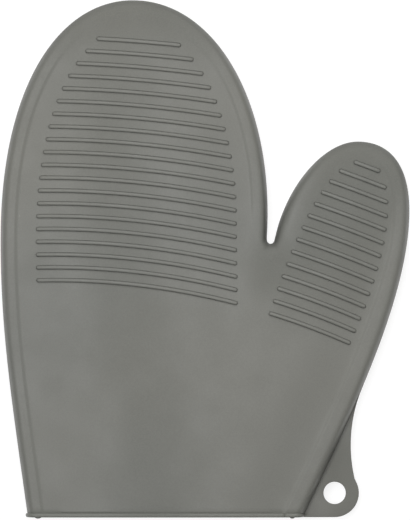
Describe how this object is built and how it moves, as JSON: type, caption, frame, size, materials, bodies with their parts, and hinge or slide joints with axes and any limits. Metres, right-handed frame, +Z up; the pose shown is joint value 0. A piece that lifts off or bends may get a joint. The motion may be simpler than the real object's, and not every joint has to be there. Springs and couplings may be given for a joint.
{
  "type": "oven mitt",
  "caption": "Moulded silicone oven mitt with a separate thumb, curved grip ribs on the palm, a cuff bead, a hanging tab with a hole and a padded cotton lining.",
  "frame": {"origin": "on the surface it lies on, under the centre of the mitt's bounding box", "axes": "+Y from the cuff to the fingertips, +X towards the thumb, +Z up out of the ribbed palm face; the mitt lies on its back"},
  "size_m": [0.2206, 0.28, 0.0242],
  "materials": {
    "silicone": "matte grey moulded silicone",
    "silicone_ribs": "matte grey moulded silicone",
    "wadding": "white polyester wadding",
    "cotton_lining": "plain woven grey cotton, quilted",
    "binding": "woven cotton tape"
  },
  "bodies": {
    "hand": {"palm_shell_hand": "silicone", "back_shell_hand": "silicone", "palm_cuff_bead": "silicone", "back_cuff_bead": "silicone", "hang_tab": "silicone", "palm_ribs": "silicone_ribs", "thumb_base_ribs": "silicone_ribs", "palm_wadding_hand": "wadding", "back_wadding_hand": "wadding", "palm_lining_hand": "cotton_lining", "back_lining_hand": "cotton_lining", "lining_binding": "binding"},
    "fingers": {"palm_shell_fingers": "silicone", "back_shell_fingers": "silicone", "finger_ribs": "silicone_ribs", "palm_wadding_fingers": "wadding", "back_wadding_fingers": "wadding", "palm_lining_fingers": "cotton_lining", "back_lining_fingers": "cotton_lining"},
    "thumb": {"palm_shell_thumb": "silicone", "back_shell_thumb": "silicone", "thumb_ribs": "silicone_ribs", "palm_wadding_thumb": "wadding", "back_wadding_thumb": "wadding", "palm_lining_thumb": "cotton_lining", "back_lining_thumb": "cotton_lining"}
  },
  "joints": [
    {"name": "finger_curl", "type": "hinge", "parent": "hand", "child": "fingers", "pos_m": [-0.0367, 0.0372, 0.023], "axis": [0.9949, -0.1011, 0], "range_deg": [0, 80], "stiffness_Nm_per_rad": 0.25},
    {"name": "thumb_fold", "type": "hinge", "parent": "hand", "child": "thumb", "pos_m": [0.07044, -0.00007, 0.023], "axis": [0.9367, -0.3502, 0], "range_deg": [0, 70], "stiffness_Nm_per_rad": 0.12}
  ]
}
